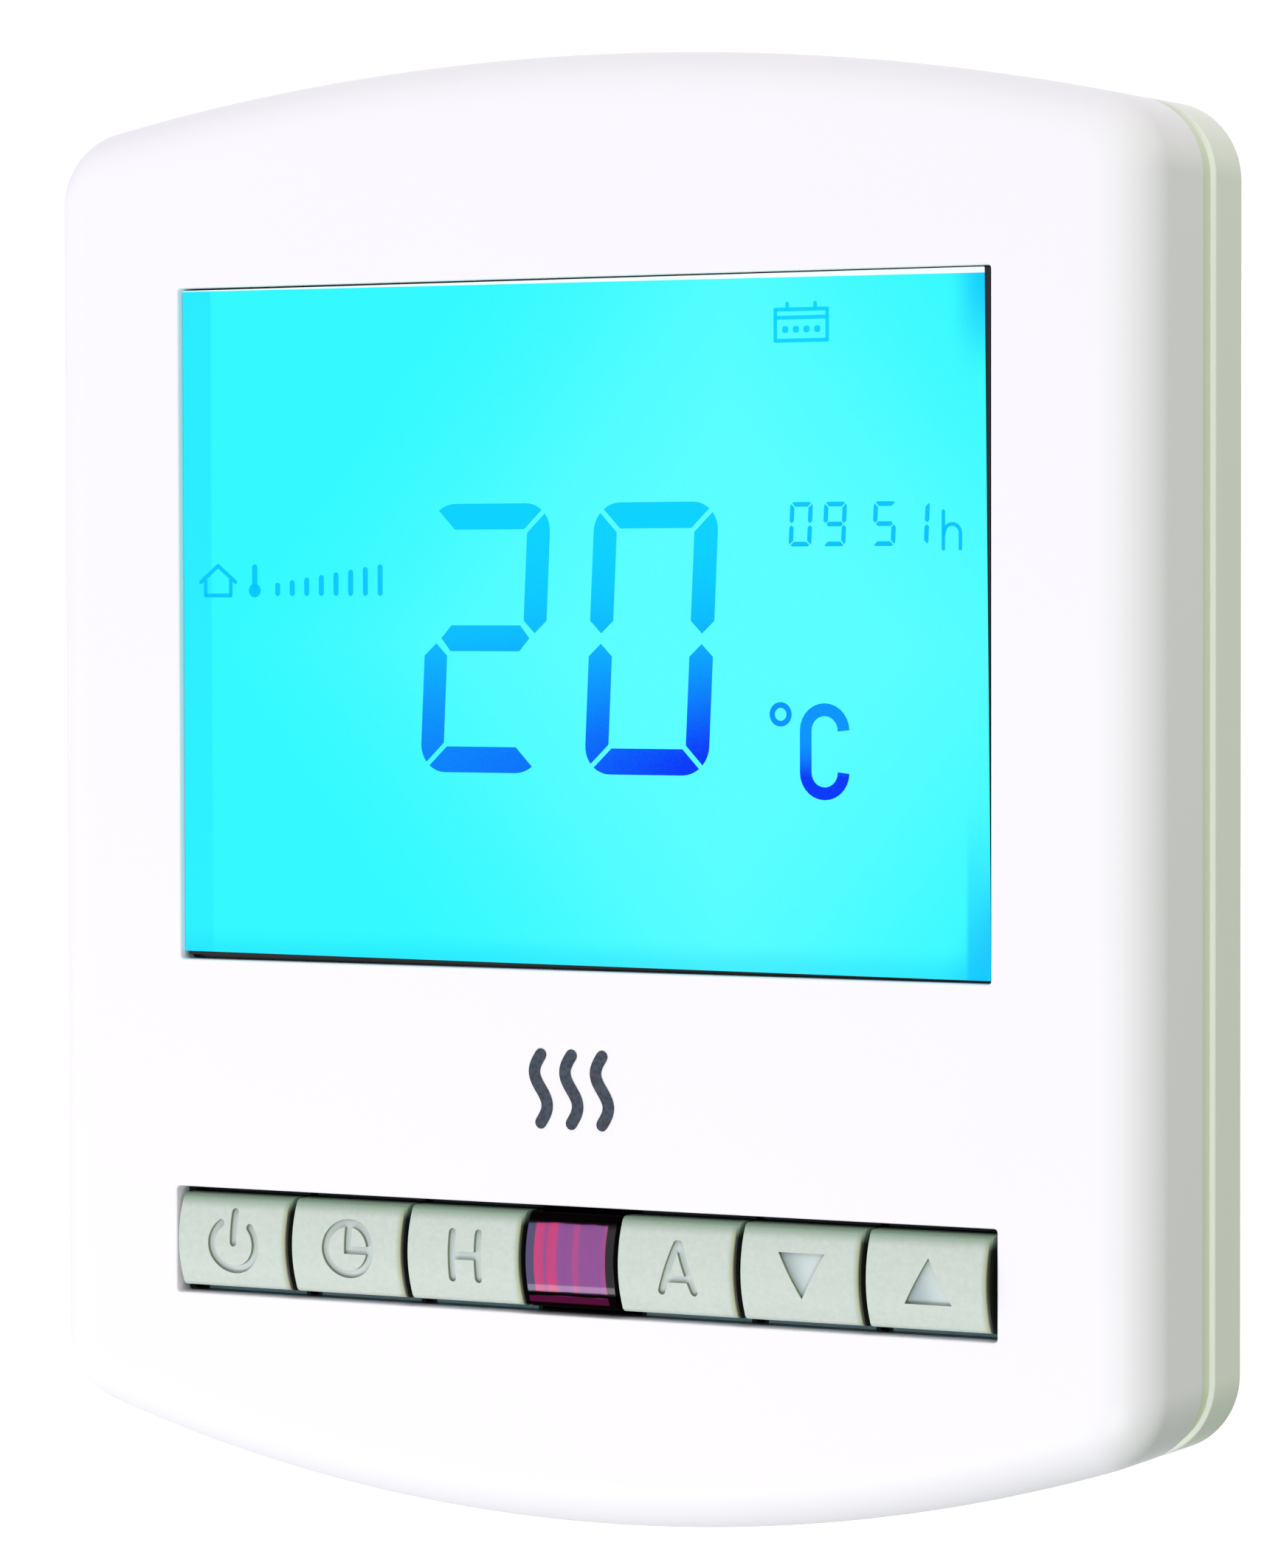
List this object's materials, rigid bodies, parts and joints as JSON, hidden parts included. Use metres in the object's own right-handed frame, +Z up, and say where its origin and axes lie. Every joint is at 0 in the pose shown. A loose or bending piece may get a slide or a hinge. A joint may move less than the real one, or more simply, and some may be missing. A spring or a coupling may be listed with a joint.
{
  "type": "programmable heating timer",
  "caption": "Wall-mounted heating timer: crowned white case with a backlit display, a row of crowned keys with an infrared window, and a front half that swings off its wall plate.",
  "frame": {"origin": "midway between the two fixing slots, on the wall plane", "axes": "+Y into the wall, +Z up, +X to the right as seen from the front"},
  "size_m": [0.086, 0.0369, 0.102],
  "materials": {
    "case_white": "fine moulded texture",
    "plate_white": "fine moulded texture",
    "emblem_ink": "printed ink",
    "screw_steel": "zinc plated",
    "display_face": "satin film",
    "display_glass": "clear",
    "polariser_film": "film",
    "diffuser_film": "satin film",
    "light_guide": "clear acrylic",
    "reflector_white": "white film",
    "frame_white": "moulded",
    "contact_rubber": "silicone",
    "led_lens": "clear",
    "key_frame_grey": "moulded",
    "key_grey": "spark-eroded texture",
    "infrared_red": "translucent, polished",
    "receiver_black": "moulded",
    "board_green": "solder mask",
    "switch_black": "moulded",
    "dome_steel": "spring steel",
    "chip_black": "moulded",
    "tinned_metal": "tinned",
    "capacitor_tan": "ceramic",
    "battery_steel": "plated",
    "connector_black": "moulded",
    "contact_gold": "gold flashed",
    "relay_blue": "moulded",
    "ferrite": "sintered",
    "winding_tape": "polyester tape",
    "capacitor_yellow": "moulded",
    "capacitor_sleeve": "shrink sleeve",
    "fuse_glass": "clear",
    "varistor_blue": "epoxy coat",
    "terminal_green": "moulded",
    "terminal_brass": "plated"
  },
  "bodies": {
    "wall_plate": {"back_cover": "plate_white", "power_board": "board_green", "power_board_screws": "screw_steel", "relay": "relay_blue", "transformer_core": "ferrite", "transformer_winding": "winding_tape", "suppression_capacitor": "capacitor_yellow", "smoothing_capacitors": "capacitor_sleeve", "rectifier": "chip_black", "fuse_tube": "fuse_glass", "fuse_caps": "tinned_metal", "varistor": "varistor_blue", "terminal_block": "terminal_green", "terminal_clamps": "terminal_brass", "terminal_screws": "screw_steel", "board_socket": "connector_black"},
    "front_half": {"front_cover": "case_white", "cover_emblem": "emblem_ink", "cover_screw": "screw_steel", "display_polariser": "display_face", "display_front_glass": "display_glass", "display_rear_glass": "display_glass", "rear_polariser": "polariser_film", "diffuser_film": "diffuser_film", "light_guide": "light_guide", "reflector_sheet": "reflector_white", "display_frame": "frame_white", "contact_strips": "contact_rubber", "backlight_leds": "led_lens", "key_frame": "key_frame_grey", "infrared_window": "infrared_red", "infrared_receiver": "receiver_black", "control_board": "board_green", "control_board_screws": "screw_steel", "switch_bodies": "switch_black", "switch_domes": "dome_steel", "microcontroller": "chip_black", "microcontroller_legs": "tinned_metal", "memory_chip": "chip_black", "clock_crystal": "tinned_metal", "board_capacitors": "capacitor_tan", "board_resistors": "chip_black", "backup_battery": "battery_steel", "battery_clip": "tinned_metal", "header_strip": "connector_black", "header_pins": "contact_gold", "temperature_sensor": "receiver_black"},
    "power_key": {"power_key": "key_grey", "power_plunger": "switch_black"},
    "clock_key": {"clock_key": "key_grey", "clock_plunger": "switch_black"},
    "heat_key": {"heat_key": "key_grey", "heat_plunger": "switch_black"},
    "auto_key": {"auto_key": "key_grey", "auto_plunger": "switch_black"},
    "down_key": {"down_key": "key_grey", "down_plunger": "switch_black"},
    "up_key": {"up_key": "key_grey", "up_plunger": "switch_black"}
  },
  "joints": [
    {"name": "cover_swing", "type": "hinge", "parent": "wall_plate", "child": "front_half", "pos_m": [0, -0.0068, 0.051], "axis": [-1, 0, 0], "range_deg": [0, 50]},
    {"name": "power_press", "type": "slide", "parent": "front_half", "child": "power_key", "axis": [0, 1, 0], "range_m": [0, 0.0005], "stiffness_N_per_m": 3000, "springref_m": -0.0002},
    {"name": "clock_press", "type": "slide", "parent": "front_half", "child": "clock_key", "axis": [0, 1, 0], "range_m": [0, 0.0005], "stiffness_N_per_m": 3000, "springref_m": -0.0002},
    {"name": "heat_press", "type": "slide", "parent": "front_half", "child": "heat_key", "axis": [0, 1, 0], "range_m": [0, 0.0005], "stiffness_N_per_m": 3000, "springref_m": -0.0002},
    {"name": "auto_press", "type": "slide", "parent": "front_half", "child": "auto_key", "axis": [0, 1, 0], "range_m": [0, 0.0005], "stiffness_N_per_m": 3000, "springref_m": -0.0002},
    {"name": "down_press", "type": "slide", "parent": "front_half", "child": "down_key", "axis": [0, 1, 0], "range_m": [0, 0.0005], "stiffness_N_per_m": 3000, "springref_m": -0.0002},
    {"name": "up_press", "type": "slide", "parent": "front_half", "child": "up_key", "axis": [0, 1, 0], "range_m": [0, 0.0005], "stiffness_N_per_m": 3000, "springref_m": -0.0002}
  ]
}
